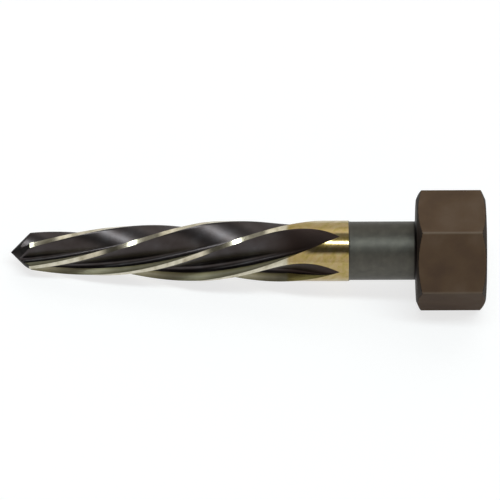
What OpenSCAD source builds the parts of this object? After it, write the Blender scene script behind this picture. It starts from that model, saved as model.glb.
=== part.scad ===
// Car reamer: a taper reamer with five left-hand spiral flutes, a short parallel collar,
// a round shank and a hexagon drive nut for an impact wrench. Units are millimetres.
// The tool lies as it rests: the nut on one flat near its front edge, the cutter's tip on the ground.

/* [Tool lengths from the point] */
// length from the point to the rear end
overall_length = 160.8; // [158:0.1:190]
// where the taper reaches full diameter
taper_end = 64.7; // [50:0.1:78]
// where the flutes come out on the collar
flute_end = 111.4; // [105:0.1:113]
// rear end of the full-diameter collar
collar_end = 114.9; // [114:0.1:125]
// length of the drive nut
nut_length = 23.4; // [18:0.1:30]

/* [Diameters] */
// diameter of the parallel cutting part
body_d = 20.64; // [20.3:0.01:24]
// diameter at the small end of the taper
tip_d = 13.4; // [11:0.05:15]
// diameter of the shank
shank_d = 19.84; // [17:0.01:20]
// width of the nut across its flats
nut_across_flats = 36.5; // [34:0.05:46]

/* [Point and collar] */
// included angle of the point
point_angle = 90; // [70:1:120]
// length of the bevel at the rear of the collar
collar_bevel = 0.5; // [0.3:0.05:1.5]
// size of the braze fillet where the shank enters the nut
braze_fillet = 0.5; // [0.2:0.05:1.2]

/* [Flutes] */
// number of flutes
flutes = 5; // [4:1:6]
// length of one full turn of the spiral
lead = 178.9; // [140:0.1:260]
// turn of the first cutting edge at the point, from the horizontal
edge_start = 50.7; // [0:0.1:72]
// width of the margin behind each cutting edge
margin_width = 1.6; // [1:0.05:2.6]
// core radius under the flutes as a share of the full radius
web_share = 0.5; // [0.45:0.01:0.6]
// depth of the ground rake face as a share of the radius
rake_share = 0.28; // [0.15:0.01:0.35]
// angle the rake face leans in under the cutting edge
rake_lean = 1.5; // [0:0.1:4]
// radius of the fillet at the root of the rake face
root_fillet = 1.1; // [0.5:0.05:1.6]
// swell of the flute's back above a straight line, as a share of the radius
back_swell = 0.035; // [0:0.005:0.05]
// length over which the flutes run out
run_out = 30.3; // [20:0.1:40]
// turn of the cutting edge toward the flute over the run-out
run_turn = 6; // [0:0.5:10]

/* [Nut and shank end] */
// angle of the nut's corner bevels from its end faces
nut_bevel_angle = 24; // [15:1:35]
// radius of the round face at each end of the nut
nut_face_r = 17.4; // [16:0.05:17.9]
// mouth of the countersink at the rear end of the nut's bore
bore_mouth = 0.6; // [0.2:0.05:1.5]
// diameter of the centre hole in the shank's rear end
centre_d = 6; // [3:0.1:9]
// included angle of the centre hole
centre_angle = 60; // [50:1:90]
// diameter of the pilot drilled below the centre hole
pilot_d = 2; // [1:0.1:2.8]
// depth of the pilot drill from the rear end
pilot_depth = 7; // [5:0.1:12]

/* [Hidden] */
body_r = body_d / 2;
tip_r = tip_d / 2;
shank_r = shank_d / 2;
cone_length = tip_r / tan(point_angle / 2);
nut_front = overall_length - nut_length;
flat_r = nut_across_flats / 2;
corner_r = flat_r / cos(30);
bevel_rise = tan(nut_bevel_angle);
rest_x = nut_front + (flat_r - nut_face_r) * bevel_rise;
rest_tilt = atan((flat_r - tip_r) / (rest_x - cone_length));
rest_lift = tip_r * cos(rest_tilt) - cone_length * sin(rest_tilt);
span = overall_length * cos(rest_tilt) + nut_face_r * sin(rest_tilt);
pilot_r = pilot_d / 2;
centre_depth = (centre_d - pilot_d) / 2 / tan(centre_angle / 2);
cutter_clear = 2;
run_start = flute_end - run_out;
main_steps = 32;
run_steps = 16;
fillet_steps = 3;
back_steps = 5;
ring = 4 + fillet_steps + back_steps;
stations = main_steps + run_steps;

// Puts the tool's own axis, point first, into its resting place.
module rest() {
    translate([-span / 2, 0, rest_lift])
        rotate([0, -rest_tilt, 0])
            children();
}

// Radius of the ground envelope at a distance from the point, without the point's cone.
function land_r(x) = x >= taper_end ? body_r : tip_r + (body_r - tip_r) * (x - cone_length) / (taper_end - cone_length);

// Angle across one flute, from the cutting edge to the heel, before the run-out.
function full_width(x) = 360 / flutes - margin_width / land_r(x) * 180 / PI;

// Run-out fraction, 0 along the flute and 1 where it comes out.
function run_t(x) = max(0, (x - run_start) / run_out);

// Share of full depth as the wheel leaves the work.
function depth_share(x) = max(0.01, pow(max(0, 1 - pow(run_t(x), 3)), 2));

// Radius that the section is drawn from: the ground envelope, lifted clear of it at the very end.
function cut_r(x) = land_r(x) + 0.1 * pow(run_t(x), 24);

// Turn of the cutting edge at a distance from the point.
function edge_turn(x) = edge_start - 360 * x / lead - run_turn * pow(run_t(x), 2);

// One point of the flute's section: p along the rake face from the axis, q square to it toward the heel.
function at(x, p, q) = [
    x,
    p * cos(edge_turn(x)) + q * sin(edge_turn(x)),
    p * sin(edge_turn(x)) - q * cos(edge_turn(x))
];

// Height of the flute's root and of its heel above the axis, measured along the rake face.
function root_p(x) = cut_r(x) * (1 - (1 - web_share) * depth_share(x));
function heel_p(x) = cut_r(x) * (1 - (1 - cos(full_width(x))) * depth_share(x));

// Fillet radius at a distance from the point, and the rake face's lean below a given depth.
function fillet_r(x) = root_fillet * depth_share(x);
function lean_q(depth) = -depth * tan(rake_lean);

// Place of the fillet's centre and of the heel, square to the rake face.
function centre_q(x) = lean_q(cut_r(x) - root_p(x)) + fillet_r(x);
function heel_q(x) = sqrt(pow(cut_r(x), 2) - pow(heel_p(x), 2));

// Point on the flute's back: v is 0 at the root and 1 at the heel.
function back_at(x, v) = at(
    x,
    root_p(x) + v * (heel_p(x) - root_p(x)) + 4 * v * (1 - v) * back_swell * cut_r(x) * depth_share(x),
    centre_q(x) + v * (heel_q(x) - centre_q(x))
);

// Closed section of the cutting wheel's path at one distance from the point.
function section(x) = concat(
    [at(x, cut_r(x) + cutter_clear, cut_r(x) + cutter_clear)],
    [at(x, cut_r(x) + cutter_clear, 0)],
    [at(x, cut_r(x) * (1 - rake_share * depth_share(x)), lean_q(cut_r(x) * rake_share * depth_share(x)))],
    [for (i = [0 : fillet_steps]) at(
        x,
        root_p(x) + fillet_r(x) * (1 - sin(90 * i / fillet_steps)),
        centre_q(x) - fillet_r(x) * cos(90 * i / fillet_steps)
    )],
    [for (i = [1 : back_steps]) back_at(x, i / back_steps * 1.15)]
);

// Distances from the point at which the sections are taken.
function station(i) = i <= main_steps
    ? -1 + (run_start + 1) * i / main_steps
    : run_start + (run_out + 0.4) * (i - main_steps) / run_steps;

// Solid swept by the wheel that cuts one flute.
module flute_cutter(turn) {
    points = [for (i = [0 : stations]) each section(station(i))];
    sides = [for (i = [0 : stations - 1]) for (j = [0 : ring - 1]) let (
        a = i * ring + j,
        b = i * ring + (j + 1) % ring,
        c = a + ring,
        d = b + ring
    ) each [[a, d, b], [a, c, d]]];
    front = [for (j = [1 : ring - 2]) [0, j, j + 1]];
    back = [for (j = [1 : ring - 2]) [stations * ring, stations * ring + j + 1, stations * ring + j]];
    rotate([turn, 0, 0])
        polyhedron(points = points, faces = concat(sides, front, back), convexity = 6);
}

// Turned and ground bar before fluting, point at zero and the axis along X.
module bar() {
    rotate([0, 90, 0])
        rotate_extrude($fn = 96)
            polygon([
                [0, 0],
                [tip_r, cone_length],
                [body_r, taper_end],
                [body_r, collar_end - collar_bevel],
                [shank_r, collar_end],
                [shank_r, nut_front - braze_fillet],
                [shank_r + braze_fillet, nut_front],
                [shank_r, nut_front],
                [shank_r, overall_length],
                [centre_d / 2, overall_length],
                [pilot_r, overall_length - centre_depth],
                [pilot_r, overall_length - pilot_depth],
                [0, overall_length - pilot_depth]
            ]);
}

// The fluted cutter, its collar and its shank: one bar of high-speed steel.
module reamer_body() {
    color("#8a7a45")
        rest()
            difference() {
                bar();
                for (k = [0 : flutes - 1]) {
                    flute_cutter(k * 360 / flutes);
                }
            }
}

// Hexagon drive nut, fixed on the shank's rear end.
module drive_nut() {
    color("#4a3a2c")
        rest()
            difference() {
                intersection() {
                    translate([nut_front, 0, 0])
                        rotate([0, 90, 0])
                            rotate([0, 0, 30])
                                cylinder(r = corner_r, h = nut_length, $fn = 6);
                    rotate([0, 90, 0])
                        rotate_extrude($fn = 96)
                            polygon([
                                [0, nut_front],
                                [nut_face_r, nut_front],
                                [corner_r + 1, nut_front + (corner_r + 1 - nut_face_r) * bevel_rise],
                                [corner_r + 1, overall_length - (corner_r + 1 - nut_face_r) * bevel_rise],
                                [nut_face_r, overall_length],
                                [0, overall_length]
                            ]);
                }
                rotate([0, 90, 0])
                    rotate_extrude($fn = 96)
                        polygon([
                            [0, nut_front - 1],
                            [shank_r, nut_front - 1],
                            [shank_r, overall_length - bore_mouth],
                            [shank_r + bore_mouth + 1, overall_length + 1],
                            [0, overall_length + 1]
                        ]);
            }
}

reamer_body();
drive_nut();
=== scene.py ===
import math

import bmesh
import bpy
import numpy as np
from mathutils import Matrix, Vector


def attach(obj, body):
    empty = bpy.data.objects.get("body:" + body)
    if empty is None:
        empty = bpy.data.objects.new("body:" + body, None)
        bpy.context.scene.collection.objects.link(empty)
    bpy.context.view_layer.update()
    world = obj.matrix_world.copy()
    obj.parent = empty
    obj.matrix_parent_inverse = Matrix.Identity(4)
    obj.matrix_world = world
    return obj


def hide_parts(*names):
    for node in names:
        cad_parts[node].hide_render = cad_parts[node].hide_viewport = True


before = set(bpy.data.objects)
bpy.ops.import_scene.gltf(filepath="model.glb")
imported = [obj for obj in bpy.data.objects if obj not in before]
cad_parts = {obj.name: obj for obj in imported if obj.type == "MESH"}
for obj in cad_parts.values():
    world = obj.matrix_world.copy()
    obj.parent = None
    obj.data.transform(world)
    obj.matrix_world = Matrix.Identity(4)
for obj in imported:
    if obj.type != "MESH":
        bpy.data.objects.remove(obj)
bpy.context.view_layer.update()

# Reamer body
# One bar of high-speed steel, turned, fluted on a helix and ground: bright margins with flat rake
# faces, oxide-dark flutes, a bronze collar where the lands run together, and a dark grey shank.
# Millimetres from the point, along the tool's own axis.
LENGTH = 160.8
BODY_R = 10.32
TIP_R = 6.7
SHANK_R = 9.92
CONE = TIP_R
TAPER_END = 64.7
FLUTE_END = 111.4
RUN_OUT = 30.3
RUN_START = FLUTE_END - RUN_OUT
COLLAR_END = 114.9
COLLAR_BEVEL = 0.5
BRAZE = 0.5
CENTRE_R = 3.0
PILOT_R = 1.0
PILOT_DEPTH = 7.0
CENTRE_DEPTH = (CENTRE_R - PILOT_R) / math.tan(math.radians(30))
SOFT_EDGE = 0.02
# The nut's sizes that set how the tool lies.
NUT_LENGTH = 23.4
NUT_FRONT = LENGTH - NUT_LENGTH
FLAT_R = 18.25
FACE_R = 17.4
BEVEL = math.tan(math.radians(24))
# It lies tipped forward, the nut on one flat and the point's shoulder on the ground, and every
# piece is built along its own axis and carried there by one fixed turn, in metres.
TILT = math.atan((FLAT_R - TIP_R) / (NUT_FRONT + (FLAT_R - FACE_R) * BEVEL - CONE))
LIFT = TIP_R * math.cos(TILT) - CONE * math.sin(TILT)
SPAN = LENGTH * math.cos(TILT) + FACE_R * math.sin(TILT)
REST = (
    Matrix.Scale(0.001, 4)
    @ Matrix.Translation((-SPAN / 2, 0, LIFT))
    @ Matrix.Rotation(-TILT, 4, "Y")
)
# The five flutes: lead of the helix, turn of the first edge, and the ground margin behind it.
FLUTES = 5
PITCH = 2 * math.pi / FLUTES
LEAD = 178.9
EDGE_START = 50.7
RUN_TURN = 6
MARGIN = 1.6
RELIEF = 0.1
# Shares of the radius: core, ground depth of the rake face, root fillet and swell of the back.
WEB = 0.5
RAKE = 0.28
FILLET = 0.15
SWELL = 0.035
RAKE_LEAN = math.tan(math.radians(1.5))
# How far the section is lifted where a flute comes out.
CLEAR = 0.1
# Steps round one flute, each with its zone: ground face, wall below it, root fillet, back, land.
STEPS = (5, 5, 9, 18, 20)
LAND, GROUND, OXIDE, PLAIN, POINT = range(5)
STEP_ZONES = (GROUND, OXIDE, OXIDE, OXIDE, LAND)


def land_radius(x):
    """Ground envelope: a straight taper from the point to the parallel part."""
    t = np.clip((x - CONE) / (TAPER_END - CONE), None, 1)
    return TIP_R + (BODY_R - TIP_R) * t


def flute_section(x):
    """Points (p, q) round one flute at distance x, and the run-out fraction t.

    p runs up the rake face from the axis and q toward the heel. The depth share is
    s = (1 - t^3)^2. The rake face drops from (R, 0) to the web at R (1 - s (1 - WEB)), a fillet of
    radius FILLET R s turns into the back, and the back swells 4 v (1 - v) SWELL R s above the line
    to the heel, which lies on the envelope at the angle W with cos W = 1 - s (1 - cos(PITCH -
    MARGIN / R)). The margin follows, ground flat and RELIEF lower at its heel, and grows into the
    round collar as s falls. The rake face is ground bright down to RAKE R, or to nearly the whole
    face where the flute is shallower. Near the point the section is drawn in to the cone r = x.
    """
    big = float(land_radius(x))
    t = min(max((x - RUN_START) / RUN_OUT, 0), 1)
    share = (1 - t**3) ** 2
    root = big * (1 - (1 - WEB) * share)
    fillet = FILLET * big * share
    centre = fillet - (big - root) * RAKE_LEAN
    heel = big * (1 - (1 - math.cos(PITCH - MARGIN / big)) * share)
    heel_q = math.sqrt(max(big**2 - heel**2, 0))
    width = math.acos(min(heel / big, 1))
    ground, wall, turn, back, land = (np.linspace(0, 1, n + 1) for n in STEPS)
    turn = turn * math.pi / 2
    face = big - root - fillet
    bright = min(RAKE * big, 0.92 * face)
    depth = ground * bright
    below = bright + wall * (face - bright)
    swell = 4 * back * (1 - back) * SWELL * big * share
    angle = width + land * (PITCH - width)
    behind = np.clip((PITCH - angle) * big / MARGIN, 0, 1)[:, None]
    heel_turn = PITCH - MARGIN / big
    low = (big - RELIEF) * np.array([math.cos(heel_turn), math.sin(heel_turn)])
    high = big * np.array([math.cos(PITCH), math.sin(PITCH)])
    round_land = big * np.stack([np.cos(angle), np.sin(angle)], 1)
    flat = np.where(behind < 1, high * (1 - behind) + low * behind, (1 - RELIEF / big) * round_land)
    parts = [
        np.stack([big - depth, -depth * RAKE_LEAN], 1),
        np.stack([big - below, -below * RAKE_LEAN], 1),
        np.stack([root + fillet * (1 - np.sin(turn)), centre - fillet * np.cos(turn)], 1),
        np.stack([root + back * (heel - root) + swell, centre + back * (heel_q - centre)], 1),
        share * flat + (1 - share) * round_land,
    ]
    points = np.concatenate([part[:-1] for part in parts]) + np.array([CLEAR * t**24, 0])
    reach = np.hypot(points[:, 0], points[:, 1])
    return points * np.minimum(1, min(x, big) / np.maximum(reach, 1e-6))[:, None], t


# Rows run from the point to the collar, closer together over the cone and the run-out.
fluted_rows = np.concatenate(
    [
        np.linspace(0, CONE, 18)[1:],
        np.linspace(CONE, RUN_START, 105)[1:],
        FLUTE_END - RUN_OUT * (1 - np.linspace(0, 1, 71)[1:]),
    ]
)
# Round rows: collar, its bevel, shank, braze at the nut, shank inside the nut, centre hole, pilot.
round_rows = [
    (FLUTE_END + 0.6, BODY_R),
    (FLUTE_END + 1.8, BODY_R),
    (COLLAR_END - COLLAR_BEVEL - 0.1, BODY_R),
    (COLLAR_END - COLLAR_BEVEL + SOFT_EDGE, BODY_R - SOFT_EDGE),
    (COLLAR_END - SOFT_EDGE, SHANK_R + SOFT_EDGE),
    (COLLAR_END + 0.05, SHANK_R),
    (COLLAR_END + 0.4, SHANK_R),
    (COLLAR_END + 5.1, SHANK_R),
    (COLLAR_END + 13.1, SHANK_R),
    (NUT_FRONT - BRAZE - 0.4, SHANK_R),
    (NUT_FRONT - BRAZE, SHANK_R),
    (NUT_FRONT - BRAZE / 2, SHANK_R + 0.18),
    (NUT_FRONT, SHANK_R + BRAZE),
    (NUT_FRONT + 0.01, SHANK_R),
    (NUT_FRONT + 12.6, SHANK_R),
    (LENGTH - 0.2, SHANK_R),
    (LENGTH, SHANK_R - 0.15),
    (LENGTH, 2 * CENTRE_R),
    (LENGTH, CENTRE_R + 0.1),
    (LENGTH - 0.1, CENTRE_R - 0.06),
    (LENGTH - CENTRE_DEPTH, PILOT_R),
    (LENGTH - PILOT_DEPTH, PILOT_R),
]
step_zones = [zone for zone, n in zip(STEP_ZONES, STEPS) for _ in range(n)] * FLUTES
around = len(step_zones)
flute_turns = np.repeat(np.arange(FLUTES) * PITCH, around // FLUTES)
grid = np.zeros((len(fluted_rows) + len(round_rows), around, 3))
for row, x in enumerate(fluted_rows):
    section, t = flute_section(x)
    p, q = np.tile(section, (FLUTES, 1)).T
    angle = np.radians(EDGE_START - 360 * x / LEAD - RUN_TURN * t**2) - flute_turns
    grid[row, :, 0] = x
    grid[row, :, 1] = p * np.cos(angle) + q * np.sin(angle)
    grid[row, :, 2] = p * np.sin(angle) - q * np.cos(angle)
turn = np.arctan2(grid[row, :, 2], grid[row, :, 1])
for row, (x, r) in enumerate(round_rows, len(fluted_rows)):
    grid[row] = np.stack([np.full(around, x), r * np.cos(turn), r * np.sin(turn)], 1)


def skin(name, grid, first=None, last=None):
    """Mesh from rings of points: quads between rings, and fans to an end point where one is given."""
    rings, count = grid.shape[:2]
    row, column = np.divmod(np.arange((rings - 1) * count), count)
    beside = (column + 1) % count
    quads = np.stack([column, beside, beside + count, column + count], 1) + row[:, None] * count
    faces = quads.tolist()
    points = grid.reshape(-1, 3).tolist()
    near = np.arange(count)
    far = (near + 1) % count
    if first is not None:
        faces += np.stack([far, near, np.full(count, len(points))], 1).tolist()
        points.append(first)
    if last is not None:
        base = (rings - 1) * count
        faces += np.stack([near + base, far + base, np.full(count, len(points))], 1).tolist()
        points.append(last)
    mesh = bpy.data.meshes.new(name)
    mesh.from_pydata(points, [], faces)
    piece = bpy.data.objects.new(name, mesh)
    bpy.context.scene.collection.objects.link(piece)
    return piece


def unroll(mesh, grid, before, beyond):
    """UV map in millimetres: u is the distance along the axis, v the given lengths round the ring."""
    rings, count = grid.shape[:2]
    row, column = np.divmod(np.arange((rings - 1) * count), count)
    corners = ((0, before), (0, beyond), (1, beyond), (1, before))
    quads = np.stack(
        [np.stack([grid[row + down, 0, 0], v[row + down, column]], 1) for down, v in corners], 1
    )
    # The fans at the ends keep an empty map.
    rest = np.zeros(2 * len(mesh.loops) - quads.size)
    mesh.uv_layers.new(name="UVMap")
    mesh.uv_layers[0].data.foreach_set("uv", np.concatenate([quads.ravel(), rest]))


def finish(mesh, sharp, parted=None, zone=None):
    """Merges doubled points, turns faces outward, marks sharp edges and carries the mesh to REST.

    An edge is sharp where its faces meet at more than `sharp` degrees, or where `parted` says
    that their two materials meet at a line. `zone` gives each face's material where it is known
    only by the way the face points.
    """
    work = bmesh.new()
    work.from_mesh(mesh)
    bmesh.ops.remove_doubles(work, verts=work.verts, dist=0.0005)
    bmesh.ops.recalc_face_normals(work, faces=work.faces)
    for edge in work.edges:
        if len(edge.link_faces) == 2:
            pair = {face.material_index for face in edge.link_faces}
            if edge.calc_face_angle(0) > math.radians(sharp) or (parted and parted(pair)):
                edge.smooth = False
    for face in work.faces:
        face.smooth = True
        if zone:
            face.material_index = zone(face)
    work.to_mesh(mesh)
    work.free()
    mesh.transform(REST)


# The tip stays a hair behind the solid's own.
reamer = skin("reamer_steel", grid, (0.002, 0, 0), (LENGTH - PILOT_DEPTH, 0, 0))
steel = reamer.data
# Zones by face, in the order of the materials. The turned cone stays dark between the flutes.
face_rows = grid[:-1, :1, 0]
cone_r = np.hypot(grid[1:, :, 1], grid[1:, :, 2])
zones = np.tile(step_zones, (len(grid) - 1, 1))
zones[(face_rows < CONE - 0.01) & (cone_r > grid[1:, :1, 0] - 0.02)] = POINT
zones[(face_rows > FLUTE_END - 0.01).ravel()] = LAND
zones[(face_rows > COLLAR_END - COLLAR_BEVEL).ravel()] = PLAIN
ends = np.repeat([POINT, PLAIN], around)
steel.polygons.foreach_set("material_index", np.concatenate([zones.ravel(), ends]))
# Round the section the map counts from each cutting edge, with FLUTE_GAP added from flute to flute.
FLUTE_GAP = 100
steps = np.linalg.norm(np.diff(grid, axis=1, append=grid[:, :1]), axis=2)
beyond = np.cumsum(steps.reshape(len(grid), FLUTES, -1), 2)
beyond = (beyond + FLUTE_GAP * np.arange(FLUTES)[None, :, None]).reshape(len(grid), around)
unroll(steel, grid, beyond - steps, beyond)
finish(steel, 24, lambda pair: len(pair) == 2 and pair != {LAND, PLAIN})


def linear(hex_colour):
    """sRGB hex to linear RGBA: c / 12.92 below 0.04045, ((c + 0.055) / 1.055) ^ 2.4 above."""
    c = [int(hex_colour[i : i + 2], 16) / 255 for i in (1, 3, 5)]
    return tuple(v / 12.92 if v <= 0.04045 else ((v + 0.055) / 1.055) ** 2.4 for v in c) + (1,)


def add(tree, kind, *links, stops=(), **values):
    """Adds a node with its properties, sockets (in_...), ramp stops and (output, input) links.

    A shader node's kind is given without its "ShaderNode". Returns the first output, or the Mix
    node's colour.
    """
    node = tree.nodes.new("ShaderNode" + kind)
    for key, value in values.items():
        if key.startswith("in_"):
            name = key[3:].replace("_", " ")
            node.inputs[int(name) if name.isdigit() else name].default_value = value
        else:
            setattr(node, key, value)
    for out, into in links:
        tree.links.new(out, node.inputs[into])
    for i, (place, colour) in enumerate(stops):
        if i >= 2:
            node.color_ramp.elements.new(place)
        node.color_ramp.elements[i].position = place
        node.color_ramp.elements[i].color = colour
    return node.outputs[2 if kind == "Mix" else 0]


def metal(name, base, rough, metallic=1.0):
    """New material with a Principled shader; returns the material, its tree and the shader."""
    material = bpy.data.materials.new(name)
    material.use_nodes = True
    shader = material.node_tree.nodes["Principled BSDF"]
    shader.inputs["Base Color"].default_value = linear(base)
    shader.inputs["Roughness"].default_value = rough
    shader.inputs["Metallic"].default_value = metallic
    return material, material.node_tree, shader


# Where the bright cutting length turns to bronze, over about a millimetre.
BRONZE_START = 93.2
BRONZE_FULL = 94.3
# Clouds of tint to the centimetre, on maps that count millimetres.
MARGIN_CLOUDS = 3.5
RAKE_CLOUDS = 3.0
FLUTE_CLOUDS = 1.8
SHANK_CLOUDS = 3.0
POINT_CLOUDS = 6.0
GLOSS_CLOUDS = 14.0

# Ground high-speed steel: fine, bright and a little creamy, with bronze oxide on the collar.
ground_lands, tree, shader = metal("ground_high_speed_steel", "#b8b09a", 0.16)
uv = add(tree, "UVMap", uv_map="UVMap")
along = add(tree, "SeparateXYZ", (uv, 0))
bronzed = add(tree, "MapRange", (along, 0), in_1=BRONZE_START, in_2=BRONZE_FULL)
cloud = add(tree, "TexNoise", (uv, "Vector"), in_Scale=MARGIN_CLOUDS / 10, in_Detail=4.0)
cream_stops = [(0.32, linear("#a59f8a")), (0.50, linear("#c2bca8")), (0.68, linear("#d0cab9"))]
bronze_stops = [
    (0.30, linear("#8f7f48")),
    (0.44, linear("#a18f59")),
    (0.56, linear("#a9946a")),
    (0.70, linear("#a99f70")),
]
cream = add(tree, "ValToRGB", (cloud, 0), stops=cream_stops)
bronze = add(tree, "ValToRGB", (cloud, 0), stops=bronze_stops)
tint = add(tree, "Mix", (bronzed, 0), (cream, 6), (bronze, 7), data_type="RGBA")
tree.links.new(tint, shader.inputs["Base Color"])
fine = add(tree, "TexNoise", (uv, "Vector"), in_Scale=GLOSS_CLOUDS / 10, in_Detail=3.0)
gloss = add(tree, "MapRange", (fine, 0), in_1=0.3, in_2=0.7, in_3=0.10, in_4=0.15)
tree.links.new(gloss, shader.inputs["Roughness"])

# Ground rake faces: the same steel left from a coarser wheel, olive with heat and duller, in a
# lighter band between the cutting edge and the dark wall, and bronze on the collar. Across the
# band it darkens towards the cutting edge and towards the wall: painted shade along both edges.
ground_rakes, tree, shader = metal("ground_rake_faces", "#8f8a6a", 0.42, 0.7)
uv = add(tree, "UVMap", uv_map="UVMap")
node = tree.nodes.new("ShaderNodeSeparateXYZ")
tree.links.new(uv, node.inputs[0])
along, down = node.outputs[0], node.outputs[1]
down = add(tree, "Math", (down, 0), operation="MODULO", in_1=FLUTE_GAP)
share = add(tree, "Math", (down, 0), operation="DIVIDE", in_1=RAKE * BODY_R)
# Painted shade: the olive darkens towards the cutting edge (0) and the foot of the ground face (1).
olive_and_edge_shade_stops = [
    (0.0, linear("#8a8468")),
    (0.2, linear("#a69e80")),
    (0.5, linear("#c6bea1")),
    (0.8, linear("#b3a982")),
    (1.0, linear("#7d7453")),
]
olive_and_edge_shade = add(tree, "ValToRGB", (share, 0), stops=olive_and_edge_shade_stops)
bronzed = add(tree, "MapRange", (along, 0), in_1=BRONZE_START, in_2=BRONZE_FULL)
band = add(tree, "Mix", (bronzed, 0), (olive_and_edge_shade, 6), data_type="RGBA", in_7=linear("#a8975a"))
cloud = add(tree, "TexNoise", (uv, "Vector"), in_Scale=RAKE_CLOUDS / 10, in_Detail=4.0)
dim_stops = [(0.3, (0.82, 0.82, 0.82, 1)), (0.7, (1, 1, 1, 1))]
dim = add(tree, "ValToRGB", (cloud, 0), stops=dim_stops)
tint = add(tree, "Mix", (band, 6), (dim, 7), data_type="RGBA", blend_type="MULTIPLY", in_0=1.0)
tree.links.new(tint, shader.inputs["Base Color"])

# Steam oxide in the flutes: near-black steel with a soft sheen, rougher where the flutes run
# out, and darker brown there as painted shade.
oxide_flutes, tree, shader = metal("steam_oxide_flutes", "#3a3434", 0.3)
uv = add(tree, "UVMap", uv_map="UVMap")
along = add(tree, "SeparateXYZ", (uv, 0))
cloud = add(tree, "TexNoise", (uv, "Vector"), in_Scale=FLUTE_CLOUDS / 10, in_Detail=5.0)
oxide_stops = [(0.3, linear("#3e3837")), (0.52, linear("#454040")), (0.72, linear("#4d4a4b"))]
oxide = add(tree, "ValToRGB", (cloud, 0), stops=oxide_stops)
# Where the flutes run out: rougher, and a painted shade of dark brown over the base colour.
runout_shade_and_matt = add(tree, "MapRange", (along, 0), in_1=86.0, in_2=97.0, interpolation_type="SMOOTHSTEP")
tint = add(tree, "Mix", (runout_shade_and_matt, 0), (oxide, 6), data_type="RGBA", in_7=linear("#352b28"))
tree.links.new(tint, shader.inputs["Base Color"])
gloss = add(tree, "MapRange", (runout_shade_and_matt, 0), in_1=0.0, in_2=1.0, in_3=0.3, in_4=0.5)
tree.links.new(gloss, shader.inputs["Roughness"])

# Plain shank: turned steel under grey oxide, matt, with painted shade at the braze where it enters
# the nut.
plain_shank, tree, shader = metal("grey_oxide_shank", "#56544e", 0.5)
uv = add(tree, "UVMap", uv_map="UVMap")
along = add(tree, "SeparateXYZ", (uv, 0))
cloud = add(tree, "TexNoise", (uv, "Vector"), in_Scale=SHANK_CLOUDS / 10, in_Detail=5.0)
grey_stops = [(0.3, linear("#504e49")), (0.5, linear("#56544e")), (0.7, linear("#5c5a53"))]
grey_oxide = add(tree, "ValToRGB", (cloud, 0), stops=grey_stops)
# Painted shade: near black within about a millimetre of the nut's front, in the corner where the
# shank meets the nut.
beside = add(tree, "Math", (along, 0), operation="SUBTRACT", in_1=NUT_FRONT)
beside = add(tree, "Math", (beside, 0), operation="ABSOLUTE")
nut_corner_shade = add(tree, "MapRange", (beside, 0), in_1=0.6, in_2=1.1, in_3=1.0, in_4=0.0)
tint = add(tree, "Mix", (nut_corner_shade, 0), (grey_oxide, 6), data_type="RGBA", in_7=linear("#1c1816"))
tree.links.new(tint, shader.inputs["Base Color"])

# Point: the turned cone, left matt and dark.
oxide_point, tree, shader = metal("oxide_point", "#262322", 0.55)
uv = add(tree, "UVMap", uv_map="UVMap")
cloud = add(tree, "TexNoise", (uv, "Vector"), in_Scale=POINT_CLOUDS / 10, in_Detail=4.0)
point_stops = [(0.3, linear("#1f1c1b")), (0.6, linear("#2a2725"))]
dark = add(tree, "ValToRGB", (cloud, 0), stops=point_stops)
tree.links.new(dark, shader.inputs["Base Color"])

for material in (ground_lands, ground_rakes, oxide_flutes, plain_shank, oxide_point):
    steel.materials.append(material)
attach(reamer, "root")
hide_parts("reamer_body")

# Drive nut
# A hexagon of machined bar steel, bevelled at both ends and finished in brown-black oxide, with
# its corners worn a little lighter. It is fixed on the shank, whose end shows in its bore.
SIDE = 2 * FLAT_R * math.tan(math.pi / 6)
CORNER_ROUND = 0.5
BORE_MOUTH = 0.6
BEVEL_SOFT = 0.10
SHANK_GAP = 0.02


def hexagon_radius(turn):
    """Distance to a hexagon's side by angle from a flat's middle, with rounded corners.

    Flats give FLAT_R / cos(a). Near a corner the side is an arc of radius CORNER_ROUND whose
    centre lies at (FLAT_R - CORNER_ROUND) / cos(30) on the corner's line.
    """
    a = (turn + math.pi / 6) % (math.pi / 3) - math.pi / 6
    flat = FLAT_R / np.cos(a)
    centre_r = (FLAT_R - CORNER_ROUND) / math.cos(math.pi / 6)
    b = math.pi / 6 - np.abs(a)
    drop = np.maximum(CORNER_ROUND**2 - (centre_r * np.sin(b)) ** 2, 0)
    touch = math.atan((FLAT_R - CORNER_ROUND) * math.tan(math.pi / 6) / FLAT_R)
    return np.where(np.abs(a) > touch, centre_r * np.cos(b) + np.sqrt(drop), flat)


def bevelled(sides, depth):
    """Ring at a depth into the nut: the lesser of side and bevel, eased off where they meet.

    The bevel rises 1 / BEVEL for each millimetre from the nearer end. Within BEVEL_SOFT of their
    meeting the ring is lowered by BEVEL_SOFT / 4 times the square of the closeness.
    """
    bevel = FACE_R - 0.002 + min(depth, NUT_LENGTH - depth) / BEVEL
    close = np.maximum(BEVEL_SOFT - np.abs(sides - bevel), 0) / BEVEL_SOFT
    return np.minimum(sides, bevel) - close**2 * BEVEL_SOFT / 4


# Turns round the hexagon: even along each flat, and gathered at its corner.
FLAT_HALF = math.radians(27.6)
CORNER_HALF = math.radians(2.2)
across_corner = np.linspace(-1, 1, 13)
across_corner = np.sign(across_corner) * np.abs(across_corner) ** 1.3 * CORNER_HALF
one_side = np.concatenate(
    [np.linspace(-1, 1, 41)[:-1] * FLAT_HALF, math.pi / 6 + across_corner]
)
from_flat = np.concatenate([side * math.pi / 3 + one_side for side in range(6)])
turns = from_flat + math.pi / 2
sides = hexagon_radius(from_flat)
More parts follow.
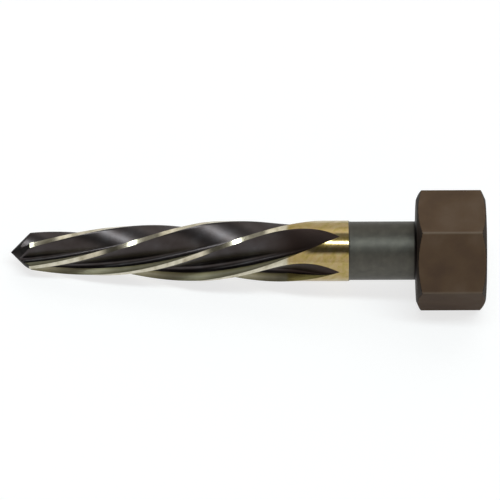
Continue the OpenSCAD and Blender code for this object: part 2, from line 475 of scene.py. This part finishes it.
# Rings run from the bore's front edge over the front face, the sides and the rear face, and back
# through the bore. They are closest together where the bevels rise.
bevel_depths = np.array(
    [0, 0.06, 0.14, 0.24, 0.36, 0.5, 0.66, 0.84, 1.04, 1.26, 1.5, 1.75, 2.05, 2.5, 3.5, 6.0, 9.0]
)
side_depths = [*bevel_depths, NUT_LENGTH / 2, *(NUT_LENGTH - bevel_depths[::-1])]
flat_rings = [FACE_R * 0.78, FACE_R - 0.12]
bore_r = SHANK_R + SHANK_GAP
ring_places = [(0, bore_r), *((0, r) for r in flat_rings)]
ring_places += [(depth, bevelled(sides, depth)) for depth in side_depths]
ring_places += [(NUT_LENGTH, r) for r in flat_rings[::-1]]
ring_places += [(NUT_LENGTH, bore_r + BORE_MOUTH), (NUT_LENGTH - BORE_MOUTH, bore_r), (0, bore_r)]
grid = np.zeros((len(ring_places), len(turns), 3))
for row, (depth, r) in enumerate(ring_places):
    grid[row] = np.stack(
        [np.full(len(turns), NUT_FRONT + depth), r * np.cos(turns), r * np.sin(turns)], 1
    )
nut = skin("nut_steel", grid)
hexagon = nut.data
# Round the hexagon the map counts from a corner.
round_to = (turns - turns[0]) / (math.pi / 3) * SIDE + SIDE / 2 - FLAT_R * math.tan(FLAT_HALF)
before = np.tile(round_to, (len(grid), 1))
beyond = np.tile(np.append(round_to[1:], round_to[0] + 6 * SIDE), (len(grid), 1))
unroll(hexagon, grid, before, beyond)
# Flats are 0. Bevels and end faces, which look along the axis, are 1.
finish(hexagon, 28, zone=lambda face: int(abs(face.normal.x) > 0.6))

# Brown oxide on milled flats: matt, clouded at about a centimetre, and thin along the corners.
# Object coordinates count metres, so clouds to the centimetre are times 100.
FLAT_CLOUDS = 0.9
brown_oxide, tree, shader = metal("brown_oxide_steel", "#533f2f", 0.6, 0.0)
shader.inputs["Specular IOR Level"].default_value = 0.06
node = tree.nodes.new("ShaderNodeTexCoord")
coords = node.outputs["Object"]
cloud = add(tree, "TexNoise", (coords, "Vector"), in_Scale=FLAT_CLOUDS * 100, in_Detail=5.0)
brown_stops = [(0.3, linear("#524033")), (0.5, linear("#5a4737")), (0.7, linear("#614f40"))]
brown = add(tree, "ValToRGB", (cloud, 0), stops=brown_stops)
uv = add(tree, "UVMap", uv_map="UVMap")
node = tree.nodes.new("ShaderNodeSeparateXYZ")
tree.links.new(uv, node.inputs[0])
away = add(tree, "Math", (node.outputs[1], 0), operation="PINGPONG", in_1=SIDE / 2)
worn = add(tree, "MapRange", (away, 0), in_1=0.0, in_2=0.6, in_3=0.55, in_4=0.0)
tint = add(tree, "Mix", (worn, 0), (brown, 6), data_type="RGBA", in_7=linear("#7d7063"))
tree.links.new(tint, shader.inputs["Base Color"])

# Bevels and end faces: turned, with a flatter oxide, and darker as painted shade on the faces that
# look along the axis.
TURNED_CLOUDS = 1.1
turned_oxide, tree, shader = metal("turned_oxide_painted_shade", "#33291f", 0.6, 0.0)
shader.inputs["Specular IOR Level"].default_value = 0.08
node = tree.nodes.new("ShaderNodeTexCoord")
coords = node.outputs["Object"]
cloud = add(tree, "TexNoise", (coords, "Vector"), in_Scale=TURNED_CLOUDS * 100, in_Detail=4.0)
# Painted shade: these faces get a darker brown than the flats because they look along the axis.
turned_shade_stops = [(0.3, linear("#2b221b")), (0.7, linear("#3a2f26"))]
dark = add(tree, "ValToRGB", (cloud, 0), stops=turned_shade_stops)
tree.links.new(dark, shader.inputs["Base Color"])
for material in (brown_oxide, turned_oxide):
    hexagon.materials.append(material)
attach(nut, "root")
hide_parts("drive_nut")

# Camera
# A long lens two metres away, level with the tool and 44 degrees above the flat it lies on, as
# in a catalogue photograph. The tool's axis runs nearly level across the frame.
PIXELS = 500
MM_PER_PIXEL = 0.339
TIP_COLUMN = 10.8
ROWS_DOWN = 1.24
DISTANCE = 1966.0
ELEVATION = math.radians(44)
ROLL = math.radians(0.246)
SENSOR = 36
across = Vector((math.cos(TILT), 0, math.sin(TILT)))
raised = Vector((-math.sin(TILT), 0, math.cos(TILT)))
toward = -math.cos(ELEVATION) * Vector((0, 1, 0)) + math.sin(ELEVATION) * raised
upward = math.sin(ELEVATION) * Vector((0, 1, 0)) + math.cos(ELEVATION) * raised
right = math.cos(ROLL) * across - math.sin(ROLL) * upward
up = math.sin(ROLL) * across + math.cos(ROLL) * upward
middle = REST @ Vector(((PIXELS / 2 - TIP_COLUMN) * MM_PER_PIXEL, 0, 0))
middle += up * ROWS_DOWN * MM_PER_PIXEL / 1000
place = middle + toward * DISTANCE / 1000
camera_data = bpy.data.cameras.new("camera")
camera_data.sensor_width = SENSOR
camera_data.lens = DISTANCE * SENSOR / (PIXELS * MM_PER_PIXEL)
camera_data.clip_end = 20
camera = bpy.data.objects.new("camera", camera_data)
bpy.context.scene.collection.objects.link(camera)
camera.matrix_world = Matrix(
    (
        (right.x, up.x, toward.x, place.x),
        (right.y, up.y, toward.y, place.y),
        (right.z, up.z, toward.z, place.z),
        (0, 0, 0, 1),
    )
)
bpy.context.scene.camera = camera
bpy.context.scene.view_settings.view_transform = "Standard"

# Studio
# A white sweep under a long overhead strip light, with the darker room beside it, all parallel
# to the tool. The floor keeps the tool's soft shadow.
FLOOR_HALF = 4
PAPER_SHADE = 0.32
PAPER_GLOW = 0.73
floor_mesh = bpy.data.meshes.new("floor")
floor_corners = [(x * FLOOR_HALF, y * FLOOR_HALF, 0) for x, y in ((-1, -1), (1, -1), (1, 1), (-1, 1))]
floor_mesh.from_pydata(floor_corners, [], [(0, 1, 2, 3)])
floor = bpy.data.objects.new("floor", floor_mesh)
bpy.context.scene.collection.objects.link(floor)
paper, tree, shader = metal("white_paper", "#ffffff", 0.9, 0.0)
shader.inputs["Base Color"].default_value = (PAPER_SHADE, PAPER_SHADE, PAPER_SHADE, 1)
# The paper reads as white to the camera and in reflections, with the shadow still on it.
rays = tree.nodes.new("ShaderNodeLightPath").outputs
glossy = (rays["Is Glossy Ray"], 1)
through = (rays["Is Transmission Ray"], 1)
seen = add(tree, "Math", (rays["Is Camera Ray"], 0), glossy, operation="MAXIMUM")
seen = add(tree, "Math", (seen, 0), through, operation="MAXIMUM")
glow = add(tree, "Math", (seen, 0), operation="MULTIPLY", in_1=PAPER_GLOW)
shader.inputs["Emission Color"].default_value = (1, 1, 1, 1)
tree.links.new(glow, shader.inputs["Emission Strength"])
floor_mesh.materials.append(paper)

# The room: its brightness by angle over the tool, camera side 0, straight up 90, far side 180.
STRIP = 9.5
WARM = (1.02, 1.0, 0.96)
COOL = (0.9, 1.01, 1.04)
BRIGHTNESS = 1.15
room = [
    (0, 0.7),
    (28, 0.85),
    (34, 0.5),
    (40, 0.08),
    (54, 0.08),
    (62, 0.25),
    (69, 0.6),
    (72.5, STRIP),
    (79, STRIP),
    (82, 0.6),
    (92, 0.3),
    (112, 0.25),
    (119, 1.1),
    (129, 1.1),
    (142, 0.75),
    (180, 0.75),
]
room_stops = [
    (angle / 180, tuple(level / STRIP * c for c in (COOL if level == STRIP else WARM)) + (1,))
    for angle, level in room
]
world = bpy.data.worlds.new("studio")
bpy.context.scene.world = world
world.use_nodes = True
tree = world.node_tree
background = tree.nodes["Background"]
node = tree.nodes.new("ShaderNodeTexCoord")
direction = tree.nodes.new("ShaderNodeSeparateXYZ")
tree.links.new(node.outputs["Generated"], direction.inputs[0])
x, y, z = direction.outputs
near = add(tree, "Math", (y, 0), operation="MULTIPLY", in_1=-1.0)
over = add(tree, "Math", (z, 0), (near, 1), operation="ARCTAN2")
over = add(tree, "Math", (over, 0), operation="DIVIDE", in_1=math.pi)
light = add(tree, "ValToRGB", (over, 0), stops=room_stops)
# The ends of the room are darker than its sides, most of all the end that the point faces.
smooth = {"interpolation_type": "SMOOTHSTEP"}
point_end = add(tree, "MapRange", (x, 0), in_1=-0.42, in_2=-0.14, in_3=0.12, in_4=1.0, **smooth)
nut_end = add(tree, "MapRange", (x, 0), in_1=0.4, in_2=0.8, in_3=1.0, in_4=0.15, **smooth)
fall = add(tree, "Math", (point_end, 0), (nut_end, 1), operation="MULTIPLY")
dimmed = add(tree, "Mix", (light, 6), (fall, 7), data_type="RGBA", blend_type="MULTIPLY", in_0=1.0)
tree.links.new(dimmed, background.inputs[0])
background.inputs[1].default_value = STRIP * BRIGHTNESS
